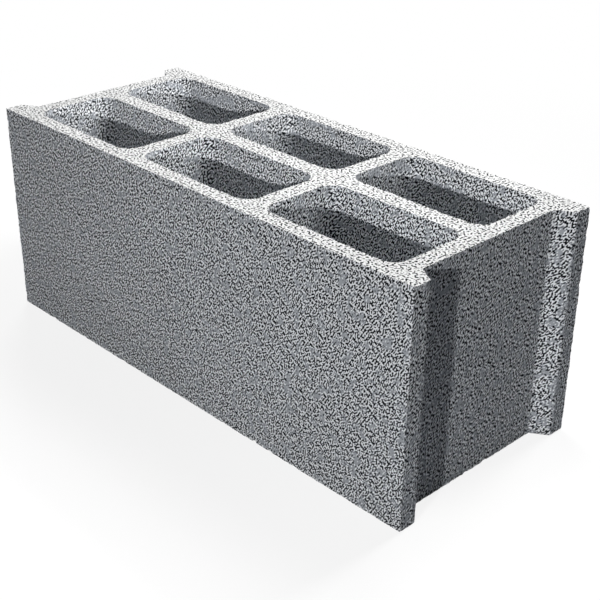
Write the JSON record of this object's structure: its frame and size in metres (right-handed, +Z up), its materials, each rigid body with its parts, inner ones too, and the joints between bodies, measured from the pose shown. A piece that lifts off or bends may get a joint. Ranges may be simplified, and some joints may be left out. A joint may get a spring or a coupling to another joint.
{
  "type": "hollow concrete block",
  "caption": "Hollow concrete masonry block with drafted, round-cornered cells open on both beds and a bevelled mortar groove between ears at each end.",
  "frame": {"origin": "centre of the bottom bed, on the floor", "axes": "+X along the block's length, +Y across the wall, +Z up towards the wide mouths of the cells"},
  "size_m": [0.5, 0.2, 0.2],
  "materials": {
    "concrete": "rough pressed concrete, open grain"
  },
  "bodies": {
    "root": {"concrete_block": "concrete"}
  },
  "joints": []
}
